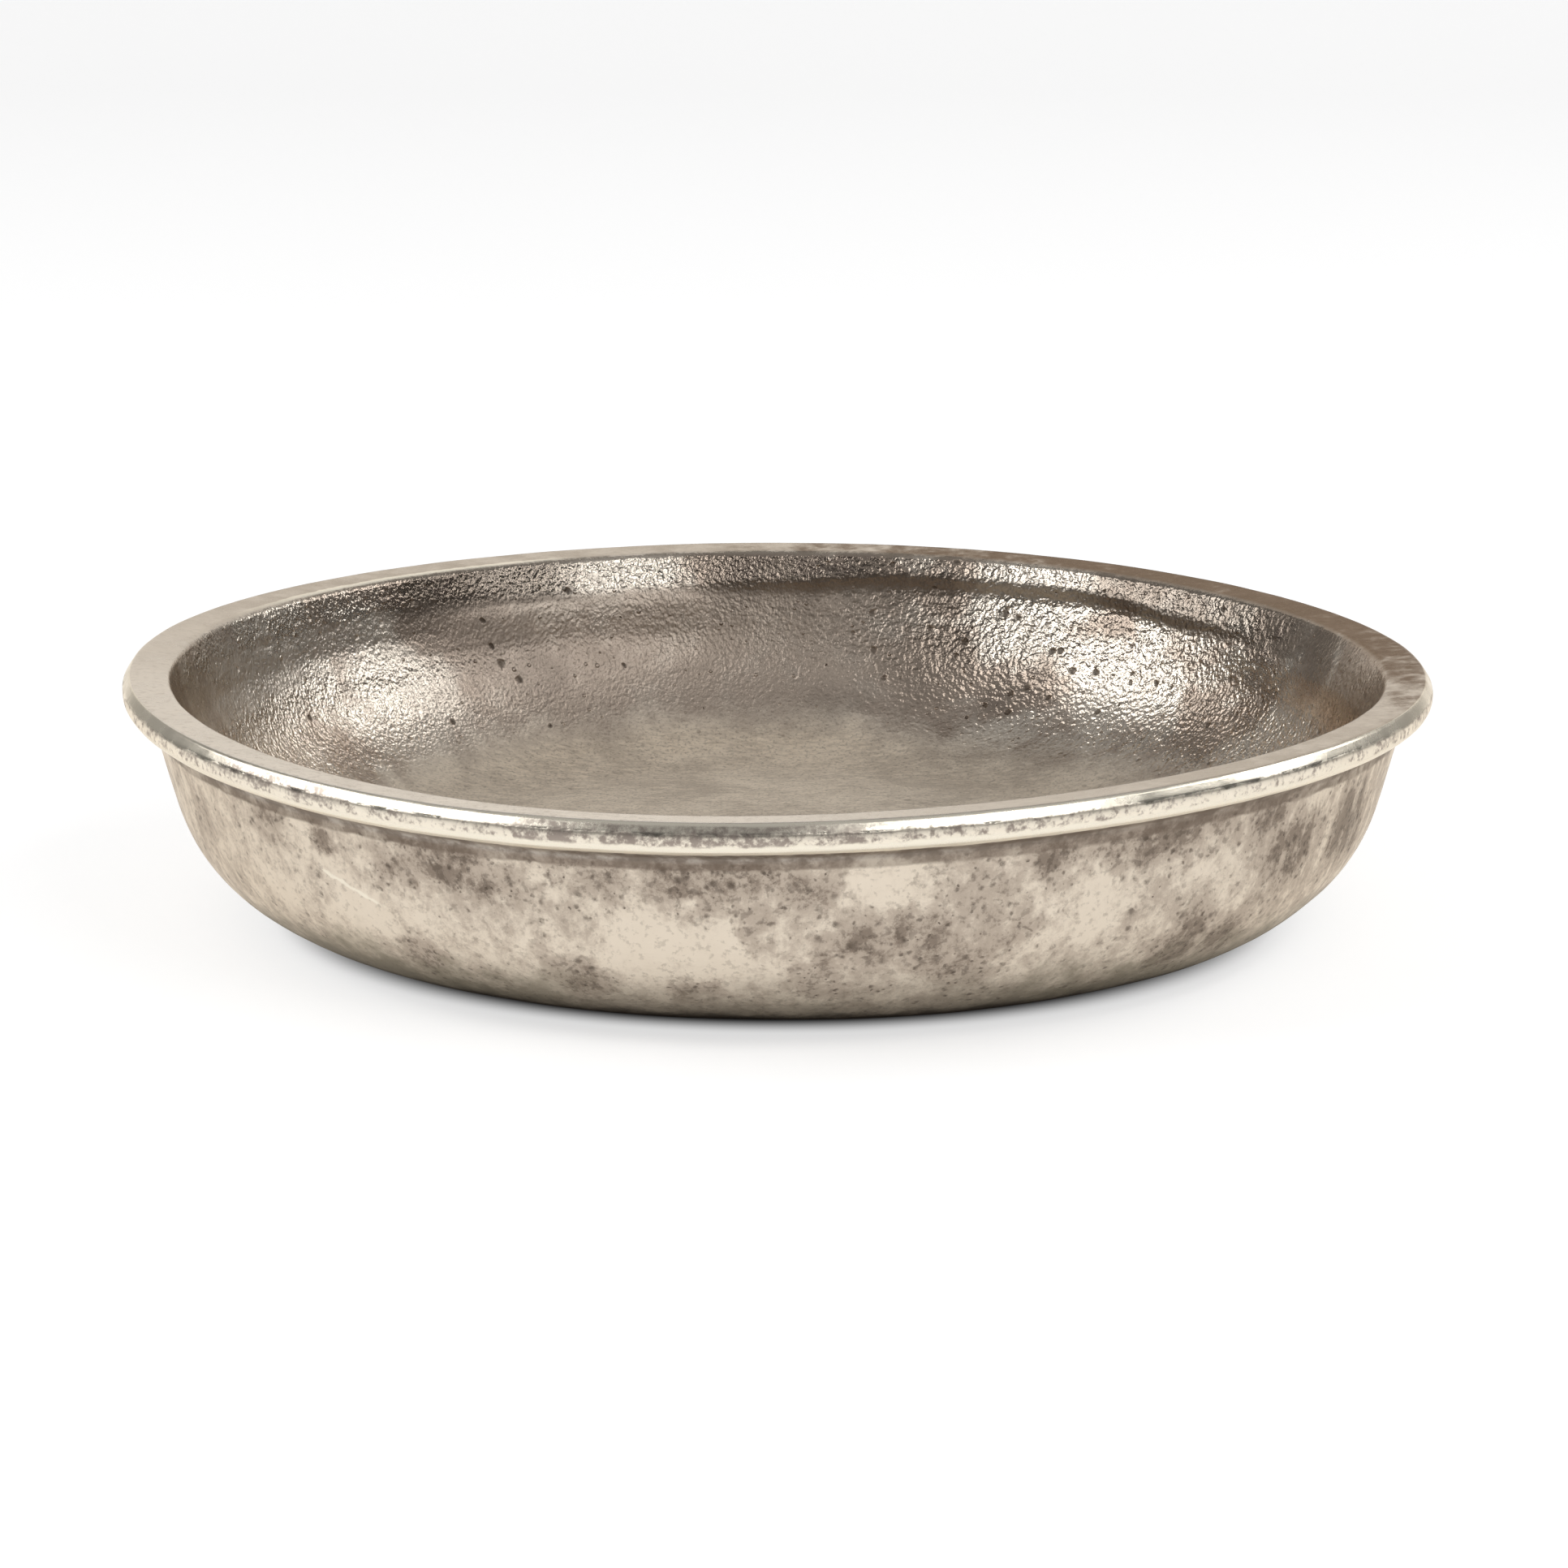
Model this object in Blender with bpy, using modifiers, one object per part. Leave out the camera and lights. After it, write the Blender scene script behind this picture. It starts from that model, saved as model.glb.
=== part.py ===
# A cast metal dish: one turned casting with a flared lip, on four felt pads stuck under its base.
# Metres, +Z up. The origin is the centre of the dish on the surface that it stands on.

import math

import bpy
from mathutils import Vector

# The casting's outside, from the lip down
LIP_DIAMETER = 0.200
CASTING_HEIGHT = 0.0367
LIP_BEVEL_WIDTH = 0.0009
LIP_BEVEL_DROP = 0.0016
LIP_EDGE_HEIGHT = 0.0024
LIP_DROP = 0.0059
LIP_OVERHANG = 0.0043
LIP_TOP_ROUND = 0.0008
LIP_EDGE_ROUND = 0.0026
NECK_FILLET = 0.0016
WALL_DRAFT = math.radians(16.5)
HEEL_RADIUS = 0.0260

# The casting's inside, from the flat land on top of the lip down
LAND_WIDTH = 0.0070
LAND_FALL = 0.0003
LAND_EDGE_ROUND = 0.0018
FLARE_DROP = 0.0053
FLARE_FILLET = 0.0020
NECK_WALL = 0.0051
INNER_NECK_RUN = 0.0015
INNER_NECK_FILLET = 0.0030
BOWL_DRAFT = math.radians(26)
BOWL_RADIUS = 0.030
FLOOR_THICKNESS = 0.0060

# The felt pads and the film of glue that holds each one to the base
PAD_DIAMETER = 0.014
PAD_THICKNESS = 0.0009
PAD_EDGE_ROUND = 0.0002
PAD_INSET = 0.0065
GLUE_FILM = 0.0003

# How finely the round shapes are divided
TURN_STEPS = 80
BOWL_POINTS = 14
ROUND_POINTS = 4
HEEL_POINTS = 12
PAD_SIDES = 32
PAD_ROUND_POINTS = 2
PAD_SHARP_ANGLE = math.radians(40)
AXIS_MERGE = 0.00001

# Sizes that follow from those above
LIP_RADIUS = LIP_DIAMETER / 2
NECK_HEIGHT = CASTING_HEIGHT - LIP_DROP
NECK_RADIUS = LIP_RADIUS - LIP_OVERHANG
FLARE_HEIGHT = CASTING_HEIGHT - FLARE_DROP
INNER_NECK_HEIGHT = FLARE_HEIGHT - INNER_NECK_RUN
INNER_NECK_RADIUS = NECK_RADIUS - NECK_WALL
CROWN_RADIUS = LIP_RADIUS - LIP_BEVEL_WIDTH - LIP_TOP_ROUND
WALL_FOOT_RADIUS = NECK_RADIUS - NECK_HEIGHT * math.tan(WALL_DRAFT)
BOWL_RUN = (INNER_NECK_HEIGHT - FLOOR_THICKNESS) * math.tan(BOWL_DRAFT)
BOWL_FOOT_RADIUS = INNER_NECK_RADIUS - BOWL_RUN
BASE_LIFT = PAD_THICKNESS + GLUE_FILM
PAD_NAMES = ("front_left", "front_right", "back_right", "back_left")
FIRST_PAD_ANGLE = math.radians(225)

METAL_COLOUR = (0.62, 0.56, 0.48, 1.0)
FELT_COLOUR = (0.035, 0.033, 0.031, 1.0)


def clear_scene():
    for obj in list(bpy.data.objects):
        bpy.data.objects.remove(obj, do_unlink=True)


def make_material(name, colour, roughness, metallic):
    material = bpy.data.materials.new(name)
    material.use_nodes = True
    shader = material.node_tree.nodes["Principled BSDF"]
    shader.inputs["Base Color"].default_value = colour
    shader.inputs["Roughness"].default_value = roughness
    shader.inputs["Metallic"].default_value = metallic
    return material


def rounded_corner(before, corner, after, radius, points):
    # The arc that rounds a corner of an outline. It may use up what is left of the side before
    # the corner and half of the side after it.
    back = (before - corner).normalized()
    ahead = (after - corner).normalized()
    half_angle = back.angle(ahead) / 2
    room = min((before - corner).length, (after - corner).length / 2)
    reach = min(radius / math.tan(half_angle), room)
    start = corner + back * reach
    centre = corner + (back + ahead).normalized() * (reach / math.cos(half_angle))
    sweep = math.pi - 2 * half_angle
    if (corner - before).cross(after - corner) < 0:
        sweep = -sweep
    arm = start - centre
    turns = [sweep * i / points for i in range(points + 1)]
    return [centre + rotated(arm, turn) for turn in turns]


def rotated(arm, turn):
    cosine = math.cos(turn)
    sine = math.sin(turn)
    return Vector((arm.x * cosine - arm.y * sine, arm.x * sine + arm.y * cosine))


def rounded_outline(start, corners, rounds):
    # The outline from start round each corner in turn to the last one, which stays sharp.
    outline = [start]
    for corner, after, (radius, points) in zip(corners, corners[1:], rounds):
        outline += rounded_corner(outline[-1], corner, after, radius, points)
    return [*outline, corners[-1]]


def outside_outline():
    # From the crown of the lip over its worn bevel and blunt edge, then down to the middle of the base.
    crown = Vector((CROWN_RADIUS, CASTING_HEIGHT))
    bevel_top = Vector((LIP_RADIUS - LIP_BEVEL_WIDTH, CASTING_HEIGHT))
    edge_top = Vector((LIP_RADIUS, CASTING_HEIGHT - LIP_BEVEL_DROP))
    edge_foot = Vector((LIP_RADIUS, edge_top.y - LIP_EDGE_HEIGHT))
    neck = Vector((NECK_RADIUS, NECK_HEIGHT))
    wall_foot = Vector((WALL_FOOT_RADIUS, 0.0))
    middle = Vector((0.0, 0.0))
    rounds = [
        (LIP_TOP_ROUND, ROUND_POINTS),
        (LIP_EDGE_ROUND, ROUND_POINTS),
        (LIP_EDGE_ROUND, ROUND_POINTS),
        (NECK_FILLET, ROUND_POINTS),
        (HEEL_RADIUS, HEEL_POINTS),
    ]
    corners = [bevel_top, edge_top, edge_foot, neck, wall_foot, middle]
    return rounded_outline(crown, corners, rounds)


def inside_outline():
    # From the crown across the land and down the flare to the inner neck, then down the bowl to the
    # middle of the floor.
    crown = Vector((CROWN_RADIUS, CASTING_HEIGHT))
    land_edge = Vector((LIP_RADIUS - LAND_WIDTH, CASTING_HEIGHT - LAND_FALL))
    flare_foot = Vector((INNER_NECK_RADIUS, FLARE_HEIGHT))
    neck = Vector((INNER_NECK_RADIUS, INNER_NECK_HEIGHT))
    bowl_foot = Vector((BOWL_FOOT_RADIUS, FLOOR_THICKNESS))
    middle = Vector((0.0, FLOOR_THICKNESS))
    rounds = [
        (LAND_EDGE_ROUND, ROUND_POINTS),
        (FLARE_FILLET, ROUND_POINTS),
        (INNER_NECK_FILLET, ROUND_POINTS),
        (BOWL_RADIUS, BOWL_POINTS),
    ]
    # The crown is left out, because the outside starts with it.
    corners = [land_edge, flare_foot, neck, bowl_foot, middle]
    return rounded_outline(crown, corners, rounds)[1:]


def make_casting(collection, parent, outline, metal):
    mesh = bpy.data.meshes.new("dish_casting")
    edges = [(i, i + 1) for i in range(len(outline) - 1)]
    mesh.from_pydata([(point.x, 0.0, point.y) for point in outline], edges, [])
    casting = bpy.data.objects.new("dish_casting", mesh)
    collection.objects.link(casting)
    casting.parent = parent
    casting.location.z = BASE_LIFT
    turn = casting.modifiers.new("turn", "SCREW")
    turn.axis = "Z"
    turn.angle = 2 * math.pi
    turn.steps = TURN_STEPS
    turn.render_steps = TURN_STEPS
    turn.use_merge_vertices = True
    turn.merge_threshold = AXIS_MERGE
    turn.use_smooth_shade = True
    mesh.materials.append(metal)


def make_pad(name, collection, parent, place, felt):
    bpy.ops.mesh.primitive_cylinder_add(
        vertices=PAD_SIDES, radius=PAD_DIAMETER / 2, depth=PAD_THICKNESS
    )
    pad = bpy.context.object
    pad.name = name
    pad.data.name = name
    for owner in list(pad.users_collection):
        owner.objects.unlink(pad)
    collection.objects.link(pad)
    pad.parent = parent
    pad.location = place
    edge = pad.modifiers.new("cut_edge", "BEVEL")
    edge.width = PAD_EDGE_ROUND
    edge.segments = PAD_ROUND_POINTS
    edge.limit_method = "ANGLE"
    pad.data.shade_smooth()
    pad.data.set_sharp_from_angle(angle=PAD_SHARP_ANGLE)
    pad.data.materials.append(felt)


def main():
    clear_scene()
    collection = bpy.data.collections.new("cast_metal_dish")
    bpy.context.scene.collection.children.link(collection)
    stand = bpy.data.objects.new("standing_point", None)
    collection.objects.link(stand)

    metal = make_material("cast_metal", METAL_COLOUR, roughness=0.32, metallic=1.0)
    felt = make_material("felt", FELT_COLOUR, roughness=0.95, metallic=0.0)

    # The flat base ends where the heel's round begins, at the last point before the middle.
    outside = outside_outline()
    base_radius = outside[-2].x
    make_casting(collection, stand, [*reversed(inside_outline()), *outside], metal)

    pad_circle = base_radius - PAD_INSET - PAD_DIAMETER / 2
    for i, corner in enumerate(PAD_NAMES):
        angle = FIRST_PAD_ANGLE + 2 * math.pi * i / len(PAD_NAMES)
        place = (pad_circle * math.cos(angle), pad_circle * math.sin(angle), PAD_THICKNESS / 2)
        make_pad(f"felt_pad_{corner}", collection, stand, place, felt)


main()
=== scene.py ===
import math

import bpy
from mathutils import Matrix, Vector


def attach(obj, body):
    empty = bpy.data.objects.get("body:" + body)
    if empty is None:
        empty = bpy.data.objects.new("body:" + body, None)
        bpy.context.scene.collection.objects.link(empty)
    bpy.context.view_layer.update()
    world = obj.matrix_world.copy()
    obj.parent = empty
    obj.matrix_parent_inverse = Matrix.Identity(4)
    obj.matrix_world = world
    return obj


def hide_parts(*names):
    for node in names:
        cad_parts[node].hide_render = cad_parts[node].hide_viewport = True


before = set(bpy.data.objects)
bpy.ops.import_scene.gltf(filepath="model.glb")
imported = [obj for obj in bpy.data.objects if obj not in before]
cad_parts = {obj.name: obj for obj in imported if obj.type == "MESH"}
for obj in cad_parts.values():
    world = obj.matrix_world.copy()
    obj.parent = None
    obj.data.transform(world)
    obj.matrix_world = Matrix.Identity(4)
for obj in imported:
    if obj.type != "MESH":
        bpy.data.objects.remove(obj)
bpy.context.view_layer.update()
scene = bpy.context.scene
print("frame loaded:", len(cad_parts), "nodes")


# helpers for node trees

def wire(tree, socket, value):
    if isinstance(value, bpy.types.NodeSocket):
        tree.links.new(value, socket)
    else:
        socket.default_value = value


def put(tree, kind, wires=None, **settings):
    made = tree.nodes.new(kind)
    for name, value in settings.items():
        setattr(made, name, value)
    for socket, value in (wires or {}).items():
        wire(tree, made.inputs[socket], value)
    return made


def calc(tree, operation, a, b=0.0, c=0.0):
    return put(tree, "ShaderNodeMath", {0: a, 1: b, 2: c}, operation=operation).outputs[0]


def move(tree, operation, a, b, output=0):  # the same for places and directions
    return put(tree, "ShaderNodeVectorMath", {0: a, 1: b}, operation=operation).outputs[output]


def add(tree, *values):
    total = values[0]
    for value in values[1:]:
        total = calc(tree, "ADD", total, value)
    return total


def times(tree, *values):
    total = values[0]
    for value in values[1:]:
        total = calc(tree, "MULTIPLY", total, value)
    return total


def weighed(tree, *pairs):  # each value times its share
    return [times(tree, value, share) for value, share in pairs]


def rise(tree, value, low, high, start=0.0, end=1.0):  # smooth step from start at low to end at high
    made = put(tree, "ShaderNodeMapRange", {0: value, 1: low, 2: high, 3: start, 4: end})
    made.interpolation_type = "SMOOTHSTEP"
    return made.outputs[0]


def band(tree, value, low, high, soft):  # 1 between low and high, falling to 0 over soft on each side
    return times(tree, rise(tree, value, low - soft, low), rise(tree, value, high, high + soft, 1.0, 0.0))


def noise(tree, place, size, detail=2.0, rough=0.5, twist=0.0):  # size of a lump in metres
    wires = {"Vector": place, "Scale": 1 / size, "Detail": detail, "Roughness": rough, "Distortion": twist}
    return put(tree, "ShaderNodeTexNoise", wires).outputs["Fac"]


def stretch(tree, place, scale, turn=(0.0, 0.0, 0.0)):
    return put(tree, "ShaderNodeMapping", {"Vector": place, "Scale": scale, "Rotation": turn}).outputs[0]


def blend(tree, share, first, second):  # from the first colour to the second
    made = put(tree, "ShaderNodeMix", data_type="RGBA")
    wire(tree, made.inputs[0], share)
    for socket, value in ((6, first), (7, second)):
        wire(tree, made.inputs[socket], value if isinstance(value, bpy.types.NodeSocket) else (*value, 1.0))
    return made.outputs[2]


# the dish: a turned outline, then the unevenness of a hand-made casting

dish = {
    "lipRadius": 0.100, "height": 0.0367, "lift": 0.0012,
    "bevelWidth": 0.0011, "bevelDrop": 0.0016, "edgeHeight": 0.0024,
    "topRound": 0.0003, "bevelRound": 0.0010, "edgeRound": 0.0025,
    "lipDrop": 0.0059, "lipOverhang": 0.0043, "neckFillet": 0.0016,
    "wallDraft": 16.5, "heelRound": 0.0260,
    "landWidth": 0.0070, "landFall": 0.0003, "landRound": 0.0012,
    "flareDrop": 0.0048, "flareFillet": 0.0020,
    "neckWall": 0.0051, "innerNeckRun": 0.0022, "innerNeckFillet": 0.0030,
    "bowlDraft": 26.0, "bowlRound": 0.030, "floorThickness": 0.0060,
    # the inside where the neck is soft, and on the left, where there is none
    "softNeckDrop": 0.0079, "softNeckOut": -0.0014, "softNeckRound": 0.004,
    "runOutHeight": 0.0236, "runOutRound": 0.010,
    "leftBendDrop": 0.0100, "leftBendOut": -0.0008, "leftBendRound": 0.010,
    # gaps between points: up to this far from the crown, gap
    "insideGaps": [(0.012, 0.00046), (0.0205, 0.0008), (0.054, 0.00085), (0.10, 0.0016), (1.0, 0.0040)],
    "outsideGaps": [(0.0115, 0.00042), (0.022, 0.0010), (0.058, 0.0013), (1.0, 0.0085)],
    "turns": 540,
    # zones of unevenness in mm along the section from the crown: the inside is negative
    "insideZone": (-5.0, -8.0), "outsideZone": (8.5, 13.0), "baseZone": (58.0, 64.0),
    "neckZone": (-14.0, -9.5, 4.0),
}


def roundCorner(before, corner, after, radius, count=60):
    back = (before - corner).normalized()
    ahead = (after - corner).normalized()
    half = back.angle(ahead) / 2
    reach = radius / math.tan(half)
    centre = corner + (back + ahead).normalized() * (reach / math.cos(half))
    sweep = math.pi - 2 * half
    if (corner - before).cross(after - corner) < 0:
        sweep = -sweep
    arm = corner + back * reach - centre
    turned = []
    for i in range(count + 1):
        c, s = math.cos(sweep * i / count), math.sin(sweep * i / count)
        turned.append(centre + Vector((arm.x * c - arm.y * s, arm.x * s + arm.y * c)))
    return turned


def roundedOutline(start, corners, radii):
    outline = [start]
    for corner, after, radius in zip(corners, corners[1:], radii):
        outline += roundCorner(outline[-1], corner, after, radius)
    return [*outline, corners[-1]]


def dishSides():  # outlines that start at the crown of the lip: three for the inside, one for the outside
    d = dish
    lipR, top, floorZ = d["lipRadius"], d["height"], d["floorThickness"]
    neckR, neckZ = lipR - d["lipOverhang"], top - d["lipDrop"]
    edgeZ = top - d["bevelDrop"]
    footR = neckR - neckZ * math.tan(math.radians(d["wallDraft"]))
    crown = Vector((lipR - d["bevelWidth"] - d["topRound"], top))
    outside = roundedOutline(crown, [
        Vector((lipR - d["bevelWidth"], top)), Vector((lipR, edgeZ)), Vector((lipR, edgeZ - d["edgeHeight"])),
        Vector((neckR, neckZ)), Vector((footR, 0.0)), Vector((0.0, 0.0))],
        [d["topRound"], d["bevelRound"], d["edgeRound"], d["neckFillet"], d["heelRound"]])
    innerR, flareZ = neckR - d["neckWall"], top - d["flareDrop"]
    innerZ = flareZ - d["innerNeckRun"]
    slope = math.tan(math.radians(d["bowlDraft"]))
    landEdge = Vector((lipR - d["landWidth"], top - d["landFall"]))
    bowlFoot = Vector((innerR - (innerZ - floorZ) * slope, floorZ))
    middle = Vector((0.0, floorZ))
    inside = roundedOutline(
        crown, [landEdge, Vector((innerR, flareZ)), Vector((innerR, innerZ)), bowlFoot, middle],
        [d["landRound"], d["flareFillet"], d["innerNeckFillet"], d["bowlRound"]])
    softNeck = Vector((innerR + d["softNeckOut"], top - d["softNeckDrop"]))
    runOut = Vector((innerR - (innerZ - d["runOutHeight"]) * slope, d["runOutHeight"]))
    plain = roundedOutline(
        crown, [landEdge, softNeck, runOut, bowlFoot, middle],
        [d["landRound"], d["softNeckRound"], d["runOutRound"], d["bowlRound"]])
    leftBend = Vector((innerR + d["leftBendOut"], top - d["leftBendDrop"]))
    left = roundedOutline(
        crown, [landEdge, leftBend, bowlFoot, middle],
        [d["landRound"], d["leftBendRound"], d["bowlRound"]])
    return inside, outside, plain, left


def lengthsAlong(outline):
    lengths = [0.0]
    for a, b in zip(outline, outline[1:]):
        lengths.append(lengths[-1] + (b - a).length)
    return lengths


def stopsAlong(outline, gaps):  # lengths at which to put points
    whole = lengthsAlong(outline)[-1]
    stops, at = [], 0.0
    for limit, gap in gaps:
        limit = min(limit, whole)
        count = max(1, round((limit - at) / gap))
        stops += [at + (limit - at) * i / count for i in range(count)]
        at = limit
    return [*stops, whole]


def pointsAt(outline, stops):
    lengths = lengthsAlong(outline)
    points, k = [], 0
    for stop in stops:
        while k < len(outline) - 2 and lengths[k + 1] < stop:
            k += 1
        span = max(lengths[k + 1] - lengths[k], 1e-12)
        points.append(outline[k].lerp(outline[k + 1], (stop - lengths[k]) / span))
    return points


def outlineMesh():  # the section as a chain of points, with how far each lies from the crown in mm
    inside, outside, plain, left = dishSides()
    inStops = stopsAlong(inside, dish["insideGaps"])
    outStops = stopsAlong(outside, dish["outsideGaps"])
    outer = pointsAt(outside, outStops)

    def chained(inner):   # from the middle of the floor up to the crown, then down the outside
        share = lengthsAlong(inner)[-1] / inStops[-1]
        points = pointsAt(inner, [s * share for s in inStops])[:0:-1] + outer
        return [(p.x, 0.0, p.y + dish["lift"]) for p in points]

    marks = [-s * 1000 for s in inStops[:0:-1]] + [s * 1000 for s in outStops]
    mesh = bpy.data.meshes.new("dishOutline")
    mesh.from_pydata(chained(inside), [], [])
    along = mesh.attributes.new("along", "FLOAT", "POINT")
    along.data.foreach_set("value", marks)
    for name, inner in (("plain", plain), ("left", left)):
        other = mesh.attributes.new(name, "FLOAT_VECTOR", "POINT")
        other.data.foreach_set("vector", [v for p in chained(inner) for v in p])
    return mesh


casting = {
    "seed": 7,
    "innerSwell": 0.00012, "innerSwellSize": 0.016,   # broad swells left by the sand mould
    "innerLump": 0.00008, "innerLumpSize": 0.0040,    # and smaller lumps
    "outerSwell": 0.00022, "outerSwellSize": 0.022,
    "outerLump": 0.00005, "outerLumpSize": 0.006,
    "lipSway": 0.00008, "lipSwaySize": 0.012,
    "leanHeight": 0.00010, "leanTurn": 14.6,          # the rim is warped: once, twice and three times round
    "ovalHeight": 0.00062, "ovalTurn": -54.5,
    "lobeHeight": 0.00044, "lobeTurn": -147.8,
    "warpFrom": 0.0198, "warpFull": 0.0320,           # heights over which the warp comes in
    # the inner neck is sharp only near shoulderTurn, where it also runs higher, and is lost on the left
    "shoulderTurn": 66.0, "shoulderFull": 0.95, "shoulderGone": 0.80,
    "leftTurn": 165.0, "leftFrom": 0.69, "leftFull": 0.88,
    "neckRise": 0.0013, "neckRiseTurn": 66.0, "neckRiseFrom": 0.93, "neckRiseFull": 0.985,
    "pitDensity": 6000.0, "pitSize": 0.0009, "pitDepth": 0.00030,
}


def turnedDishTree():
    tree = bpy.data.node_groups.new("turnedDish", "GeometryNodeTree")
    face = tree.interface
    face.new_socket("Geometry", in_out="OUTPUT", socket_type="NodeSocketGeometry")
    face.new_socket("Outline", in_out="INPUT", socket_type="NodeSocketGeometry")
    face.new_socket("Turns", in_out="INPUT", socket_type="NodeSocketInt")
    face.new_socket("Seed", in_out="INPUT", socket_type="NodeSocketInt")
    for name in casting:
        if name != "seed":
            face.new_socket(name, in_out="INPUT", socket_type="NodeSocketFloat")
    face.new_socket("Material", in_out="INPUT", socket_type="NodeSocketMaterial")
    given = put(tree, "NodeGroupInput").outputs

    # a unit grid, one row for each point of the outline, wrapped round the axis
    rings = put(tree, "GeometryNodeAttributeDomainSize", {0: given["Outline"]}, component="MESH").outputs[0]
    columns = calc(tree, "ADD", given["Turns"], 1.0)
    grid = put(tree, "GeometryNodeMeshGrid",
               {"Size X": 1.0, "Size Y": 1.0, "Vertices X": rings, "Vertices Y": columns})
    flat = put(tree, "ShaderNodeSeparateXYZ", {0: put(tree, "GeometryNodeInputPosition").outputs[0]}).outputs
    ring = calc(tree, "ROUND", times(tree, add(tree, flat[0], 0.5), calc(tree, "SUBTRACT", rings, 1.0)))
    angle = times(tree, add(tree, flat[1], 0.5), 2 * math.pi)
    spot = put(tree, "GeometryNodeSampleIndex",
               {0: given["Outline"], 1: put(tree, "GeometryNodeInputPosition").outputs[0], 2: ring},
               data_type="FLOAT_VECTOR", domain="POINT").outputs[0]
    alongIn = put(tree, "GeometryNodeInputNamedAttribute", {0: "along"}, data_type="FLOAT").outputs[0]
    alongAt = put(tree, "GeometryNodeSampleIndex", {0: given["Outline"], 1: alongIn, 2: ring},
                  data_type="FLOAT", domain="POINT").outputs[0]
    marked = put(tree, "GeometryNodeStoreNamedAttribute",
                 {"Geometry": grid.outputs[0], "Name": "along", "Value": alongAt},
                 data_type="FLOAT", domain="POINT").outputs[0]

    def otherwise(first, name, where):   # another section of the outline, where it applies
        told = put(tree, "GeometryNodeInputNamedAttribute", {0: name}, data_type="FLOAT_VECTOR").outputs[0]
        second = put(tree, "GeometryNodeSampleIndex", {0: given["Outline"], 1: told, 2: ring},
                     data_type="FLOAT_VECTOR", domain="POINT").outputs[0]
        mixed = put(tree, "ShaderNodeMix", data_type="VECTOR")
        for socket, value in ((0, where), (4, first), (5, second)):
            wire(tree, mixed.inputs[socket], value)
        return mixed.outputs[1]

    def facing(name):
        return calc(tree, "COSINE", calc(tree, "SUBTRACT", angle, calc(tree, "RADIANS", given[name])))

    softSide = rise(tree, facing("shoulderTurn"), given["shoulderFull"], given["shoulderGone"])
    chosen = otherwise(spot, "plain", softSide)
    leftSide = rise(tree, facing("leftTurn"), given["leftFrom"], given["leftFull"])
    chosen = otherwise(chosen, "left", leftSide)
    section = put(tree, "ShaderNodeSeparateXYZ", {0: chosen}).outputs
    # the neck slides up along the slope that the flare and the bowl share
    highSide = rise(tree, facing("neckRiseTurn"), given["neckRiseFrom"], given["neckRiseFull"])
    slid = times(tree, highSide, given["neckRise"], band(tree, alongAt, *dish["neckZone"]))
    slope = math.radians(dish["bowlDraft"])

    def wave(count, name):
        counted = times(tree, angle, count)
        turned = calc(tree, "SUBTRACT", counted, calc(tree, "RADIANS", given[name + "Turn"]))
        return times(tree, calc(tree, "COSINE", turned), given[name + "Height"])

    warped = times(tree, add(tree, wave(1.0, "lean"), wave(2.0, "oval"), wave(3.0, "lobe")),
                   rise(tree, section[2], given["warpFrom"], given["warpFull"]))
    reach = add(tree, section[0], times(tree, slid, math.sin(slope)))
    place = put(tree, "ShaderNodeCombineXYZ", {
        0: times(tree, reach, calc(tree, "COSINE", angle)),
        1: times(tree, reach, calc(tree, "SINE", angle)),
        2: add(tree, section[2], warped, times(tree, slid, math.cos(slope)))}).outputs[0]
    wrapped = put(tree, "GeometryNodeSetPosition", {"Geometry": marked, "Position": place}).outputs[0]
    closed = put(tree, "GeometryNodeMergeByDistance", {"Geometry": wrapped, "Distance": 1e-6}).outputs[0]

    # where each kind of unevenness shows
    here = put(tree, "GeometryNodeInputPosition").outputs[0]
    along = put(tree, "GeometryNodeInputNamedAttribute", {0: "along"}, data_type="FLOAT").outputs[0]
    seedShift = put(tree, "ShaderNodeCombineXYZ", {0: times(tree, given["Seed"], 0.137)}).outputs[0]
    field = move(tree, "ADD", here, seedShift)
    inside = rise(tree, along, *dish["insideZone"])
    outside = rise(tree, along, *dish["outsideZone"])
    aboveBase = rise(tree, along, *dish["baseZone"], 1.0, 0.0)
    lip = times(tree, rise(tree, along, *dish["insideZone"][::-1]),
                rise(tree, along, *dish["outsideZone"], 1.0, 0.0))

    def lumps(sizeName, heightName, mask, detail):
        size = calc(tree, "DIVIDE", 1.0, given[sizeName])
        wires = {"Vector": field, "Scale": size, "Detail": detail}
        made = put(tree, "ShaderNodeTexNoise", wires).outputs["Fac"]
        return times(tree, calc(tree, "SUBTRACT", made, 0.5), given[heightName], 2.0, mask)

    uneven = add(
        tree,
        lumps("innerSwellSize", "innerSwell", inside, 1.0),
        lumps("innerLumpSize", "innerLump", inside, 2.0),
        lumps("outerSwellSize", "outerSwell", times(tree, outside, aboveBase), 1.0),
        lumps("outerLumpSize", "outerLump", times(tree, outside, aboveBase), 2.0),
        lumps("lipSwaySize", "lipSway", lip, 2.0))

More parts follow.
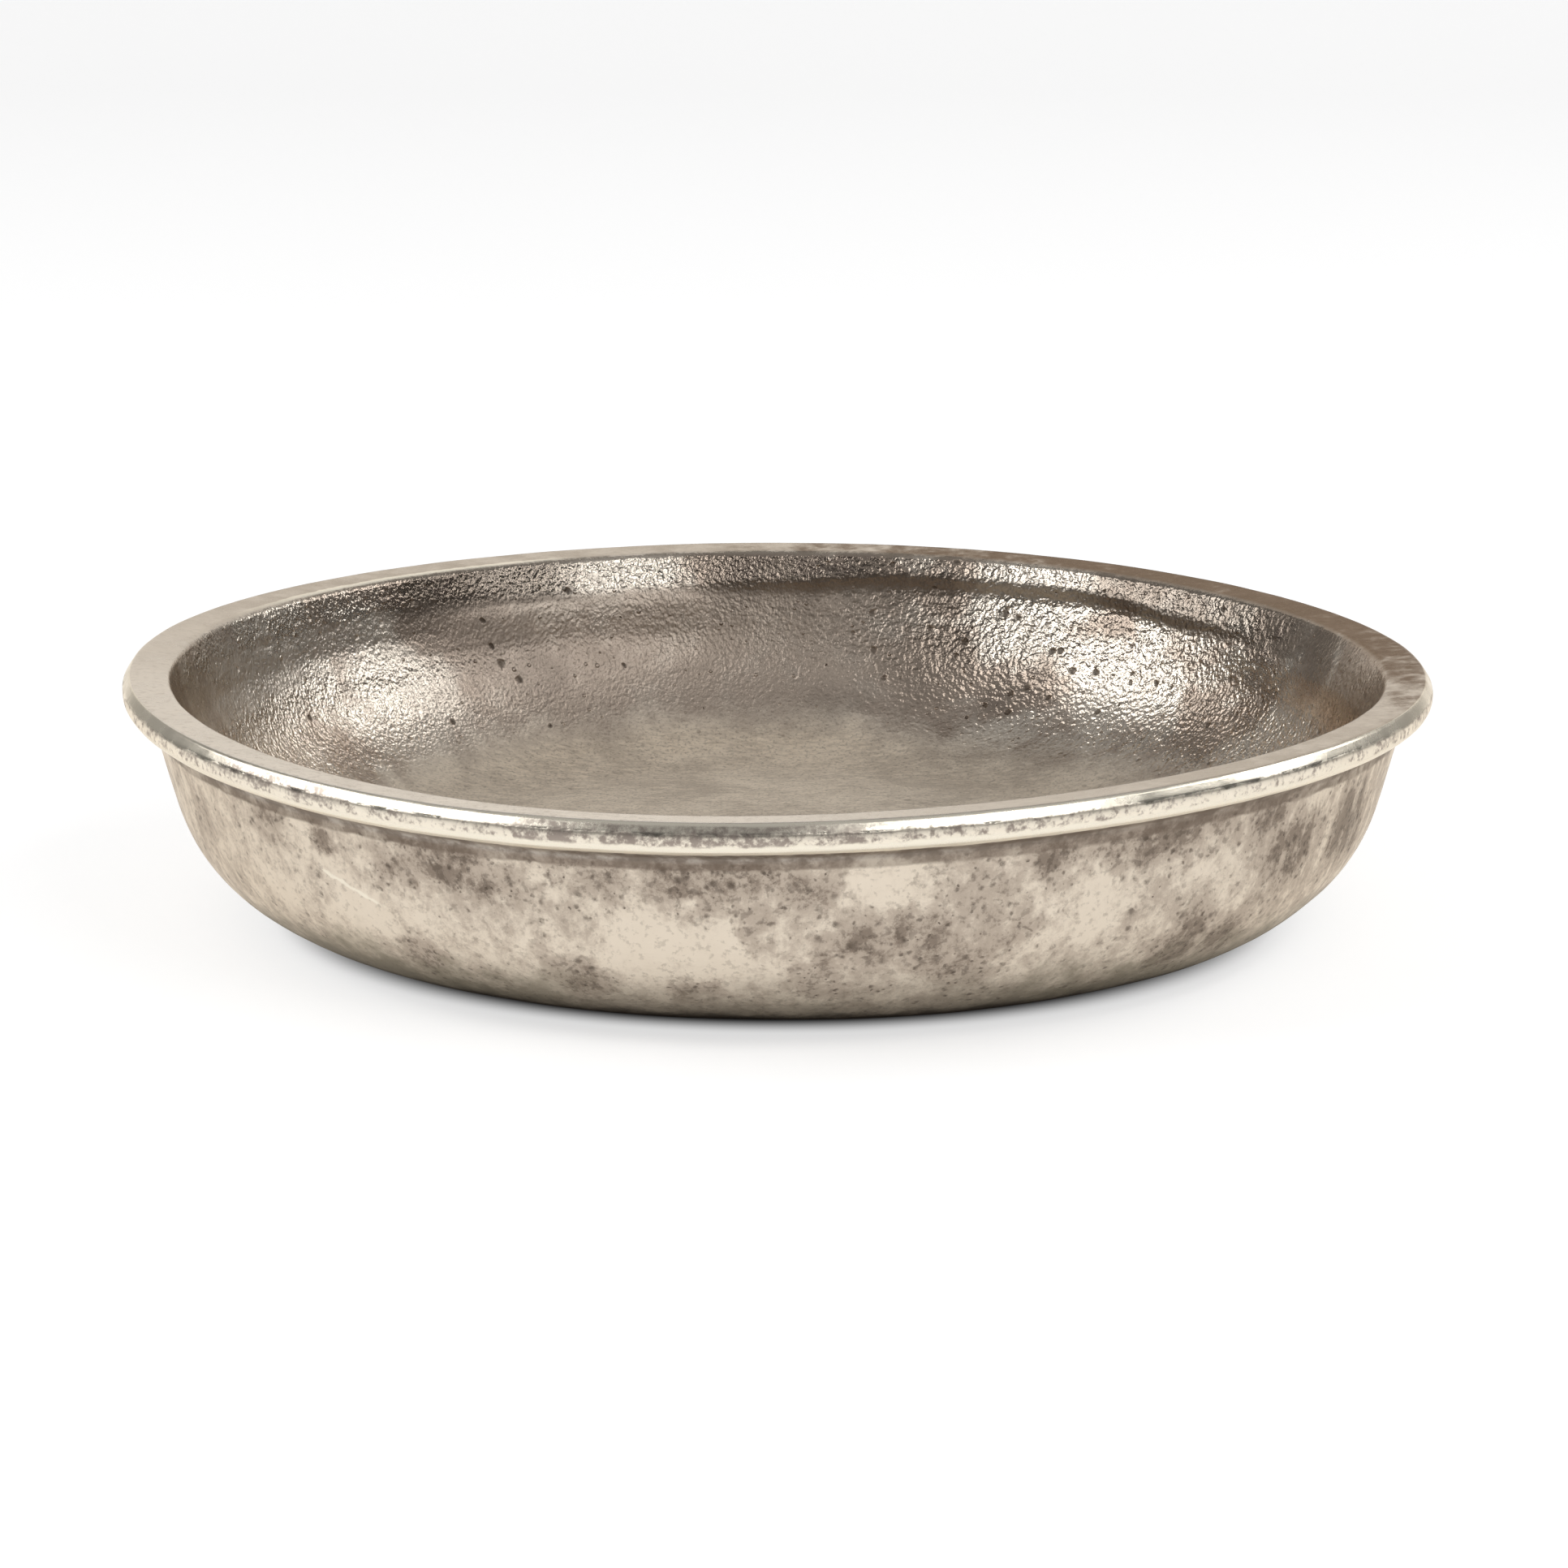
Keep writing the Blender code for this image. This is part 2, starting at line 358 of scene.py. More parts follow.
    # blow holes left by gas in the mould
    density = times(tree, given["pitDensity"], inside)
    scatter = put(tree, "GeometryNodeDistributePointsOnFaces",
                  {"Mesh": closed, "Density": density, "Seed": given["Seed"]},
                  distribute_method="RANDOM").outputs[0]
    nearest = put(tree, "GeometryNodeSampleNearest", {0: scatter, 1: here}, domain="POINT").outputs[0]
    pitAt = put(tree, "GeometryNodeSampleIndex",
                {0: scatter, 1: put(tree, "GeometryNodeInputPosition").outputs[0], 2: nearest},
                data_type="FLOAT_VECTOR", domain="POINT").outputs[0]
    away = move(tree, "DISTANCE", pitAt, here, "Value")
    chance = put(tree, "FunctionNodeRandomValue", {"ID": nearest, "Seed": given["Seed"]},
                 data_type="FLOAT").outputs[1]
    span = times(tree, given["pitSize"], add(tree, times(tree, chance, chance), 0.45))
    hole = rise(tree, calc(tree, "DIVIDE", away, span), 0.0, 1.0, 1.0, 0.0)
    pitted = times(tree, hole, given["pitDepth"], -1.0, inside)

    normal = put(tree, "GeometryNodeInputNormal").outputs[0]
    shift = put(tree, "ShaderNodeVectorMath", {0: normal, "Scale": add(tree, uneven, pitted)},
                operation="SCALE").outputs[0]
    shaped = put(tree, "GeometryNodeSetPosition", {"Geometry": closed, "Offset": shift}).outputs[0]
    smooth = put(tree, "GeometryNodeSetShadeSmooth", {"Geometry": shaped}).outputs[0]
    real = put(tree, "GeometryNodeRealizeInstances", {"Geometry": smooth}).outputs[0]
    dressed = put(tree, "GeometryNodeSetMaterial", {"Geometry": real, "Material": given["Material"]})
    put(tree, "NodeGroupOutput", {0: dressed.outputs[0]})
    return tree


def settle(piece, tree, values):  # run the tree, keep its plain mesh, drop the modifier
    modifier = piece.modifiers.new(tree.name, "NODES")
    modifier.node_group = tree
    for item in tree.interface.items_tree:
        if item.in_out == "INPUT" and item.name in values:
            modifier[item.identifier] = values[item.name]
    graph = bpy.context.evaluated_depsgraph_get()
    settled = piece.evaluated_get(graph)
    mesh = bpy.data.meshes.new_from_object(settled, preserve_all_data_layers=True, depsgraph=graph)
    piece.modifiers.clear()
    piece.data = mesh
    mesh.name = piece.name


def spots(tree, place, marks):  # soft round spots in mm: x, y, z, size, strength
    total = None
    for x, y, z, size, strength in marks:
        middle = (x / 1000, y / 1000, z / 1000)
        away = move(tree, "DISTANCE", place, middle, "Value")
        spot = rise(tree, away, size * 0.0002, size * 0.001, strength, 0.0)
        total = spot if total is None else calc(tree, "MAXIMUM", total, spot)
    return total


def wandered(tree, place, size, reach):  # the place pushed about, so that edges run unevenly
    push = put(tree, "ShaderNodeTexNoise", {"Vector": place, "Scale": 1 / size, "Detail": 3.0})
    centred = move(tree, "SUBTRACT", push.outputs["Color"], (0.5, 0.5, 0.5))
    return put(tree, "ShaderNodeVectorMath", {0: centred, 1: (reach, reach, reach), 2: place},
               operation="MULTIPLY_ADD").outputs[0]


def holes(tree, place, spacing, size, share, soft=0.45):  # scattered small holes: 1 in a hole, 0 outside
    cells = put(tree, "ShaderNodeTexVoronoi", {"Vector": place, "Scale": 1 / spacing, "Randomness": 1.0})
    chance = put(tree, "ShaderNodeSeparateColor", {0: cells.outputs["Color"]}).outputs
    reach = times(tree, add(tree, chance[1], 0.35), size / spacing)
    hole = rise(tree, calc(tree, "DIVIDE", cells.outputs["Distance"], reach), soft, 1.0, 1.0, 0.0)
    return times(tree, hole, calc(tree, "LESS_THAN", chance[0], share))


def strokes(tree, place, marks):  # thin straight marks in mm: x, y, z of both ends, half width, strength
    total = None
    for *ends, width, strength in marks:
        a, b = Vector(ends[:3]) / 1000, Vector(ends[3:]) / 1000
        run = (b - a).normalized()
        arm = move(tree, "SUBTRACT", place, tuple(a))
        t = move(tree, "DOT_PRODUCT", arm, tuple(run), "Value")
        t = calc(tree, "MINIMUM", calc(tree, "MAXIMUM", t, 0.0), (b - a).length)
        foot = put(tree, "ShaderNodeVectorMath", {0: tuple(run), "Scale": t}, operation="SCALE").outputs[0]
        off = move(tree, "DISTANCE", arm, foot, "Value")
        mark = rise(tree, off, width * 0.0003, width * 0.001, strength, 0.0)
        total = mark if total is None else calc(tree, "MAXIMUM", total, mark)
    return total


metal = {
    # colours
    "land": (0.57, 0.505, 0.43), "landDull": (0.45, 0.385, 0.315),
    "landPale": (0.85, 0.795, 0.72), "landBrown": (0.20, 0.155, 0.125),
    "grazing": (0.94, 0.88, 0.80), "grazingBrown": (0.50, 0.42, 0.36), "bead": (0.90, 0.835, 0.705),
    "edge": (0.90, 0.82, 0.69), "edgeStainAndShade": (0.30, 0.245, 0.215),
    "bowl": (0.64, 0.575, 0.495), "bowlBrown": (0.41, 0.335, 0.275), "flareBrown": (0.20, 0.165, 0.135),
    "floor": (0.80, 0.72, 0.61), "floorDull": (0.60, 0.53, 0.445),
    "wall": (0.76, 0.67, 0.555), "wallStain": (0.46, 0.385, 0.315), "wallDark": (0.17, 0.13, 0.10),
    "heel": (0.27, 0.235, 0.175), "base": (0.50, 0.45, 0.385), "dirtAndShade": (0.085, 0.065, 0.05),
    # sizes of the noises and the grain in metres
    "clouds": 0.018, "mottles": 0.0050, "speckles": 0.0011, "streaks": 0.0010, "smears": 0.0035,
    "patina": 0.0030, "dust": 0.00055, "fineGrain": 0.00054, "coarseGrain": 0.00083, "grainHeight": 0.00030,
    # zones in mm along the section from the crown: the inside is negative, a third value is the softness
    "bowlZone": (-5.2, -6.4), "edgeZone": (2.3, 3.9, 0.4), "beadZone": (4.1, 6.4, 0.5),
    "underLipZone": (6.9, 10.6, 0.6), "matZone": (5.6, 9.2, 0.6),
    "wallZone": (9.0, 10.0), "baseZone": (53.0, 57.0),
    "upperZone": (-18.0, -12.0, 3.0), "grooveZone": (-12.2, -10.8, 1.2), "filedZone": (-26.0, -16.0),
    "belowNeckZone": (-10.6, -12.6), "floorZone": (-33.0, -45.0), "flareZone": (-12.0, -6.0, 1.0),
    "landEdgeZone": (-5.2, -4.6, 0.4), "rubbedBevelZone": (0.35, 2.4, 0.2),
    "markedBevelZone": (1.1, 2.8, 0.5),
    # turns about the axis, in degrees from +X
    "sharpTurn": 66.0, "dullFlareTurn": 122.0, "dimFlareTurn": 40.0, "paleTurn": 232.0, "brownTurn": 36.0,
    "frontMarkTurn": 262.0, "sideMarkTurn": 224.0, "frontTurn": 270.0,
    # scattered holes: spacing and size in metres, share of the cells that have one, how much of it is flat
    "narrowPits": (0.0013, 0.00048, 0.55, 0.2), "widePits": (0.0024, 0.00075, 0.45, 0.2),
    "smallHoles": (0.0034, 0.00062, 0.80), "rareHoles": (0.0070, 0.00065, 0.45),
    "beads": (0.0020, 0.00034, 0.5), "leastRough": 0.14,
    # brown stains on the outside, and spots of painted shade in the crease under the lip: x, y, z, size in
    # mm, strength
    "stainsAndCreaseShade": [
        (-52, -78, 30, 7, 0.9), (-45, -83, 28, 7, 1.0), (-37, -87, 25, 6, 0.55), (-25, -92, 29, 7, 0.7),
        (-14, -94, 29, 9, 0.8), (-5, -95, 29, 8, 0.9), (3, -94, 26, 8, 0.7), (22, -92, 26, 7, 0.35),
        (29, -88, 24, 8, 0.6), (33, -86, 19, 7, 0.5), (57, -76, 31, 8, 1.0), (64, -71, 29, 7, 0.8),
        (-48, -81, 28, 8, 1.0), (-9, -93.5, 26, 7, 0.8), (17, -91.5, 20, 6, 0.7), (48, -81, 31, 7, 0.7),
        (71, -63, 30, 8, 0.8), (22, -88, 16, 6, 0.7), (-30, -89.5, 29, 5, 0.9), (-54, -76.6, 25, 5, 0.8),
        (-13, -93, 27, 6, 0.8), (21, -91, 20, 6, 0.7), (58, -66, 11, 8, 0.9), (65, -58, 11, 7, 0.8),
        (-10, -93.5, 26.5, 6, 0.7), (-4, -93, 22, 6, 0.7), (-41, -84, 24, 6, 0.8), (40, -86, 29, 7, 0.8),
        (52, -79, 29, 6, 0.8),
        (-66, -68, 28, 4, 1.0), (-73, -60, 28, 6, 0.7), (-28, -83, 10, 7, 0.8), (-12, -86, 9, 6, 0.6),
        (-51, -72, 11, 7, 0.7), (12, -89, 18, 8, 0.7), (26, -84, 13, 7, 0.7), (-83, -38, 24, 6, 0.5),
        (84, -40, 24, 11, 1.0), (60, -67, 15, 8, 0.6), (75, -55, 23, 10, 0.9), (5, -87, 11, 7, 0.7)],
    # places on the outside that are rubbed bright
    "rubbed": [
        (-31, -89, 27, 5, 0.9), (-18, -90, 17, 10, 1.0), (-9, -90, 16, 9, 0.9), (46, -81, 22, 10, 0.8),
        (38, -84, 24, 6, 0.8), (13, -94, 28, 6, 0.8), (-60, -69, 20, 10, 0.7), (-54, -73, 16, 10, 0.6),
        (62, -70, 25, 6, 0.8), (-72, -57, 19, 10, 0.7), (20, -92.5, 28, 9, 1.0), (-69, -63, 25, 8, 0.9)],
    # places in the bowl that are browner, and cleaner
    "bowlDull": [
        (-50, 70, 26, 13, 0.75), (-57, 71, 33, 12, 0.85), (20, 88, 32, 7, 0.8), (10, 77, 13, 8, 0.7),
        (23, 80, 20, 10, 0.7), (-6, 91, 34, 11, 1.0), (4, 91, 34, 9, 0.8), (-40, 75, 21, 11, 0.7),
        (86, 31, 34, 9, 0.8), (79, 46, 33, 7, 0.6), (39, 74, 19.6, 10, 0.9), (31, 81, 22, 8, 0.8),
        (68, 47, 20, 10, 0.7), (28, 87, 33, 6, 0.7), (55, 71.5, 30, 7, 0.8), (75, 41, 22, 8, 0.6),
        (14, 91, 34, 8, 0.8)],
    "bowlClean": [
        (-60, 60, 20, 18, 0.7), (40, 80, 28, 13, 1.0), (56, 66, 22, 16, 1.0), (-30, 86, 34, 9, 1.0),
        (-85, 25, 27, 14, 1.0), (-82.6, 41, 36, 12, 1.0), (-80, 36, 26, 10, 1.0), (-90, 8, 32, 10, 1.0),
        (-36, 83, 32, 7, 1.0)],
    # blow holes in the bowl that stand out
    "blowHoles": [
        (-59.7, 68.8, 33.6, 0.9, 1), (-68, 58.8, 29.9, 0.8, 1), (-73.5, 52.9, 31.5, 0.7, 1),
        (-78.7, 42.7, 29.3, 1.1, 1), (-75.1, 46.8, 27, 0.7, 1), (-42.4, 73.1, 19.8, 0.9, 1),
        (-45.6, 73.3, 22.5, 1.0, 0.8), (-52.4, 70.4, 25.3, 0.6, 1), (-84.9, 30.2, 30.7, 0.7, 0.9),
        (-37.4, 68.6, 13.1, 0.6, 1), (39.9, 80.2, 28.9, 0.8, 1), (37.9, 81.7, 29.9, 0.6, 1),
        (45.3, 74.7, 24.4, 0.9, 1), (41.1, 73, 18.8, 0.9, 1), (38.4, 73.3, 17.5, 0.7, 1),
        (69, 38.7, 14, 0.7, 1), (34.3, 73.4, 15.7, 0.6, 1), (72.8, 49.1, 25.3, 0.7, 1),
        (86.4, 34.4, 36.9, 0.7, 0.8), (29.9, 87.9, 37, 1.2, 1), (52.2, 68.6, 22.2, 0.7, 1),
        (57.9, 64.3, 22.9, 0.6, 1), (49.7, 74.1, 28.3, 0.6, 0.8), (15.8, 87.7, 28.1, 0.8, 0.9)],
    # thin marks on the outside: x, y, z of both ends, half width in mm, strength
    "scratches": [(-65, -66, 22, -56, -73, 18, 0.5, 0.8)],
    "cracks": [(31, -88, 22.5, 33, -86.5, 20, 0.25, 0.55), (33, -86.5, 20, 36, -84, 18, 0.25, 0.5)],
}


def castMetal():
    material = bpy.data.materials.new("castMetal")
    material.use_nodes = True
    tree = material.node_tree
    shader = tree.nodes["Principled BSDF"]
    place = put(tree, "ShaderNodeTexCoord").outputs["Object"]
    x, y, z = put(tree, "ShaderNodeSeparateXYZ", {0: place}).outputs
    reach = calc(tree, "SQRT", add(tree, times(tree, x, x), times(tree, y, y)))
    along = put(tree, "ShaderNodeAttribute", attribute_name="along").outputs["Fac"]

    # noises shared by colour, roughness and bump
    cloud = noise(tree, place, metal["clouds"], 5.0, 0.6, 0.8)
    mottle = noise(tree, place, metal["mottles"], 4.0, 0.65)
    speckle = noise(tree, place, metal["speckles"], 3.0, 0.6)
    offCloud = calc(tree, "SUBTRACT", cloud, 0.5)
    offMottle = calc(tree, "SUBTRACT", mottle, 0.5)

    def stirred(value, cause, amount):   # a value pushed to and fro by a noise, so that edges are ragged
        return add(tree, value, times(tree, cause, amount))

    def facing(name):   # cosine of how far a place lies from this turn about the axis
        turn = math.radians(metal[name])
        towards = add(tree, times(tree, x, math.cos(turn)), times(tree, y, math.sin(turn)))
        return calc(tree, "DIVIDE", towards, reach)

    # zones along the section
    ragged = stirred(along, offMottle, 1.6)
    bowl = rise(tree, ragged, *metal["bowlZone"])
    edge = band(tree, ragged, *metal["edgeZone"])
    bead = band(tree, ragged, *metal["beadZone"])
    underLip = band(tree, ragged, *metal["underLipZone"])
    wall = rise(tree, along, *metal["wallZone"])
    base = rise(tree, stirred(along, offMottle, 6.0), *metal["baseZone"])

    # places round the dish
    sharpSide = facing("sharpTurn")
    upperLeft = times(tree, band(tree, along, *metal["upperZone"]), rise(tree, x, -0.030, -0.050))
    groove = times(tree, band(tree, ragged, *metal["grooveZone"]), rise(tree, sharpSide, 0.80, 0.95))
    right = rise(tree, stirred(x, offCloud, 0.08), -0.005, 0.025)
    offCentre = calc(tree, "ABSOLUTE", add(tree, x, 0.005))
    sides = rise(tree, stirred(offCentre, offMottle, 0.03), 0.073, 0.090)
    filed = times(tree, sides, rise(tree, along, *metal["filedZone"]), bowl)   # smoothed by hand at both ends
    offMiddle = calc(tree, "ABSOLUTE", add(tree, x, 0.016))
    nearMiddle = rise(tree, stirred(offMiddle, offMottle, 0.02), 0.054, 0.018)
    belowNeck = rise(tree, stirred(along, offMottle, 3.0), *metal["belowNeckZone"])
    middle = times(tree, nearMiddle, belowNeck, rise(tree, y, 0.0, 0.03))   # dull and smoother
    floorLine = add(tree, along, *weighed(tree, (offMottle, 8.0), (offCloud, 12.0), (middle, -3.0)))
    floor = rise(tree, floorLine, *metal["floorZone"])
    backLeft = times(tree, rise(tree, y, 0.03, 0.06), rise(tree, x, -0.03, -0.045))
    landEdgeGlint = times(tree, band(tree, ragged, *metal["landEdgeZone"]), backLeft)   # painted highlight along the land's inner edge at the back left

    # the bowl, brown where it was never rubbed, greyer on the floor
    wandering = wandered(tree, place, 0.006, 0.012)
    dullSpots = spots(tree, wandering, metal["bowlDull"])
    browning = weighed(tree, (cloud, 0.6), (mottle, 0.4), (filed, 0.08), (dullSpots, 0.25), (middle, 0.12))
    cleaned = times(tree, spots(tree, wandering, metal["bowlClean"]), -0.20)
    browned = rise(tree, add(tree, *browning, cleaned), 0.42, 0.64)
    patchy = rise(tree, middle, 0.0, 1.0, 1.0, 0.25)   # the middle is an even brown
    browned = add(tree, times(tree, browned, patchy), times(tree, middle, 0.64))
    bowlColour = blend(tree, browned, metal["bowl"], metal["bowlBrown"])
    lengthened = stretch(tree, place, (0.40, 1.0, 1.0), (0.0, 0.0, 0.15))
    streaks = noise(tree, lengthened, metal["streaks"], 6.0, 0.8, 0.4)
    dullFloor = rise(tree, add(tree, *weighed(tree, (streaks, 0.6), (cloud, 0.4))), 0.41, 0.60)
    floorColour = blend(tree, dullFloor, metal["floor"], metal["floorDull"])
    flare = band(tree, ragged, *metal["flareZone"])
    dullSide = rise(tree, facing("dullFlareTurn"), 0.975, 0.995)
    dimSide = rise(tree, facing("dimFlareTurn"), 0.94, 0.98, 0.0, 0.75)
    dullFlare = times(tree, flare, calc(tree, "MAXIMUM", dullSide, dimSide))
    bowlColour = blend(tree, times(tree, dullFlare, 0.85), bowlColour, metal["flareBrown"])
    bowlColour = blend(tree, times(tree, dullSpots, 0.55), bowlColour, metal["flareBrown"])
    bowlColour = blend(tree, floor, bowlColour, floorColour)
    # darker along the groove
    bowlColour = blend(tree, times(tree, groove, 0.3), bowlColour, metal["dirtAndShade"])

    # the lip: dull land, stained edge with a painted dark reflection at the front, cleaner bead
    landDull = rise(tree, add(tree, *weighed(tree, (cloud, 0.4), (mottle, 0.6), (right, 0.05))), 0.38, 0.62)
    landColour = blend(tree, landDull, metal["land"], metal["landDull"])
    landPale = rise(tree, add(tree, facing("paleTurn"), offMottle), 0.1, 1.0)
    landColour = blend(tree, times(tree, landPale, 0.70), landColour, metal["landPale"])
    brownSide = rise(tree, add(tree, facing("brownTurn"), offMottle), 0.55, 0.92)
    landBrown = times(tree, brownSide, rise(tree, along, -7.0, -5.0), rise(tree, along, 1.0, 0.0))
    landColour = blend(tree, times(tree, landBrown, 0.62), landColour, metal["landBrown"])
    landColour = blend(tree, rise(tree, speckle, 0.50, 0.68, 0.0, 0.40), landColour, metal["landDull"])
    landColour = blend(tree, landEdgeGlint, landColour, metal["bead"])
    landColour = blend(tree, band(tree, along, *metal["rubbedBevelZone"]), landColour, metal["bead"])
    flecks = add(tree, times(tree, noise(tree, place, 0.0030, 5.0, 0.75), 0.6),
                 times(tree, noise(tree, place, 0.0009, 3.0, 0.6), 0.4))
    # stains on the edge and bevel, strongest at the front, where they also paint a dark reflection
    frontMark = rise(tree, facing("frontMarkTurn"), 0.93, 0.99)
    edgeMark = times(tree, edge, rise(tree, stirred(flecks, frontMark, 0.07), 0.47, 0.62))
    markedBevel = band(tree, ragged, *metal["markedBevelZone"])
    marked = calc(tree, "MAXIMUM", frontMark, rise(tree, facing("sideMarkTurn"), 0.985, 0.997))
    bevelMark = times(tree, markedBevel, marked, rise(tree, flecks, 0.38, 0.58))
    edgeMark = calc(tree, "MAXIMUM", edgeMark, bevelMark)
    lipColour = blend(tree, edge, landColour, metal["edge"])
    lipColour = blend(tree, times(tree, edgeMark, 0.85), lipColour, metal["edgeStainAndShade"])
    lipColour = blend(tree, bead, lipColour, metal["bead"])

    # the outside: clouds of patina, stains, rubbed places, specks, and painted shade on the heel and along
    # the foot
    uneven = wandered(tree, place, 0.004, 0.010)
    stainAndShade = spots(tree, uneven, metal["stainsAndCreaseShade"])
    rubbed = spots(tree, uneven, metal["rubbed"])
    smear = noise(tree, stretch(tree, place, (1.0, 1.0, 0.22)), metal["smears"], 5.0, 0.7)
    patina = add(tree, times(tree, cloud, 0.25),
                 times(tree, noise(tree, place, metal["patina"], 8.0, 0.78, 0.3), 0.50),
                 *weighed(tree, (smear, 0.25), (stainAndShade, 0.19), (rubbed, -0.10)),
                 times(tree, calc(tree, "SUBTRACT", smear, 0.5), sides, 0.5), times(tree, right, 0.02))
    stained = times(tree, rise(tree, patina, 0.42, 0.60), 0.9)
    wallColour = blend(tree, stained, metal["wall"], metal["wallStain"])
    wallColour = blend(tree, times(tree, rise(tree, patina, 0.60, 0.70), 0.7), wallColour, metal["wallDark"])
    heelLine = add(tree, z, *weighed(tree, (offMottle, 0.014), (offCloud, 0.010)))
    heelShade = times(tree, rise(tree, heelLine, 0.0130, 0.0050),
                      rise(tree, facing("frontTurn"), 0.98, 0.87, 0.30, 0.92))   # less at the front
    wallColour = blend(tree, heelShade, wallColour, metal["heel"])
    # painted shade along the foot: the reflection of the contact shadow, painted dark
    footShade = rise(tree, stirred(z, offMottle, 0.003), 0.0050, 0.0030, 0.0, 0.85)
    wallColour = blend(tree, footShade, wallColour, metal["dirtAndShade"])
    specks = rise(tree, add(tree, speckle, *weighed(tree, (stainAndShade, 0.05), (offCloud, 0.10))), 0.53, 0.66)
    speckDepth = add(tree, times(tree, stainAndShade, 0.30), 0.22)
    wallColour = blend(tree, times(tree, specks, speckDepth), wallColour, metal["dirtAndShade"])
    shaken = wandered(tree, place, 0.0012, 0.0010)
    clusters = rise(tree, stirred(patina, offMottle, 0.25), 0.44, 0.58)
    narrow, wide = [holes(tree, shaken, *metal[name]) for name in ("narrowPits", "widePits")]
    wallPits = times(tree, calc(tree, "MAXIMUM", narrow, wide), clusters)
    wallColour = blend(tree, times(tree, wallPits, 0.62), wallColour, metal["dirtAndShade"])
    wallColour = blend(tree, strokes(tree, shaken, metal["scratches"]), wallColour, metal["bead"])
    wallColour = blend(tree, strokes(tree, shaken, metal["cracks"]), wallColour, metal["dirtAndShade"])
    wallColour = blend(tree, base, wallColour, metal["base"])

    # blow holes, many and small on the right
    smallHoles = times(tree, holes(tree, shaken, *metal["smallHoles"]), right)
    rareHoles = holes(tree, shaken, *metal["rareHoles"])
    pits = times(tree, calc(tree, "MAXIMUM", smallHoles, rareHoles), rise(tree, floor, 0.0, 1.0, 1.0, 0.3),
                 rise(tree, filed, 0.0, 1.0, 1.0, 0.2))
    pits = times(tree, calc(tree, "MAXIMUM", pits, spots(tree, shaken, metal["blowHoles"])), bowl)
    dust = noise(tree, place, metal["dust"], 2.0, 0.6)
    bowlColour = blend(tree, times(tree, rise(tree, dust, 0.50, 0.70), 0.35), bowlColour, metal["flareBrown"])
    bowlColour = blend(tree, times(tree, pits, 0.8), bowlColour, metal["dirtAndShade"])

    colour = blend(tree, bowl, lipColour, bowlColour)
    colour = blend(tree, wall, colour, wallColour)
    lipShade = times(tree, underLip, rise(tree, mottle, 0.38, 0.60, 0.45, 0.85))
    colour = blend(tree, lipShade, colour, metal["wallDark"])
    wire(tree, shader.inputs["Base Color"], colour)
    shader.inputs["Metallic"].default_value = 1.0
    tint = blend(tree, landBrown, metal["grazing"], metal["grazingBrown"])
    wire(tree, shader.inputs["Specular Tint"], tint)

    roughening = weighed(
        tree, (mottle, 0.14), (floor, 0.36), (groove, 0.12), (middle, 0.22), (upperLeft, 0.08), (wall, 0.18),
        (edge, 0.16), (edgeMark, 0.10), (pits, 0.3), (base, 0.15), (landDull, 0.06))
    mat = times(tree, band(tree, along, *metal["matZone"]), 0.30)
    wire(tree, shader.inputs["Roughness"], add(tree, metal["leastRough"], *roughening, mat))

    # the grain of the casting, as bump
    fine = noise(tree, stretch(tree, place, (1.0, 1.0, 0.7), (0.0, 0.0, 0.5)), metal["fineGrain"], 2.0, 0.5)
    coarse = noise(tree, place, metal["coarseGrain"], 1.5, 0.5)
    castSkin = add(tree, times(tree, fine, rise(tree, right, 0.0, 1.0, 0.72, 0.28)),
                   times(tree, coarse, rise(tree, right, 0.0, 1.0, 0.55, 1.0)))
    calm = times(tree, rise(tree, floor, 0.0, 1.0, 1.0, 0.35), rise(tree, filed, 0.0, 1.0, 1.0, 0.40),
                 rise(tree, middle, 0.0, 1.0, 1.0, 0.80), rise(tree, upperLeft, 0.0, 1.0, 1.0, 0.62))
    beads = times(tree, holes(tree, place, *metal["beads"]), bowl, rise(tree, floor, 0.0, 1.0, 1.0, 0.1))
    height = add(
        tree, times(tree, castSkin, bowl, calm), times(tree, pits, -0.8), times(tree, beads, 0.90),
        times(tree, streaks, floor, 0.32),
        times(tree, mottle, add(tree, *weighed(tree, (wall, 0.35), (edge, 0.15)), 0.08)),
        times(tree, speckle, add(tree, *weighed(tree, (wall, 0.10), (edge, 0.06)), 0.05)),
        times(tree, wallPits, wall, -0.3))
    bump = put(tree, "ShaderNodeBump", {"Strength": 1.0, "Distance": metal["grainHeight"], "Height": height})
    wire(tree, shader.inputs["Normal"], bump.outputs[0])
    return material


castMetalFinish = castMetal()
dishPiece = bpy.data.objects.new("dishCasting", outlineMesh())
scene.collection.objects.link(dishPiece)
settle(dishPiece, turnedDishTree(), {
    "Turns": dish["turns"], "Seed": casting["seed"], "Material": castMetalFinish,
    **{name: value for name, value in casting.items() if name != "seed"}})
print("dish turned:", len(dishPiece.data.polygons), "faces")
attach(dishPiece, "root")
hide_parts("dish_casting")


# felt pads stuck under the base

pads = {
    "names": ["FrontLeft", "FrontRight", "BackRight", "BackLeft"], "firstTurn": 225.0, "circle": 0.05366,
    "radius": 0.0070, "thickness": 0.0009, "softEdge": 0.03, "unevenness": 0.00006,
    "hairs": 2600000.0, "hairLength": 0.00035, "hairWidth": 0.00003,   # hairs are counted per square metre
    "hairBend": ((-0.7, -0.7, 0.0), (0.7, 0.7, 6.28)), "lumpsPerMetre": 900.0, "seed": 3,
    "strand": 0.00035, "patch": 0.004, "strandHeight": 0.00012,
    "dark": (0.018, 0.017, 0.016), "light": (0.060, 0.056, 0.052), "faded": (0.045, 0.040, 0.036),
}


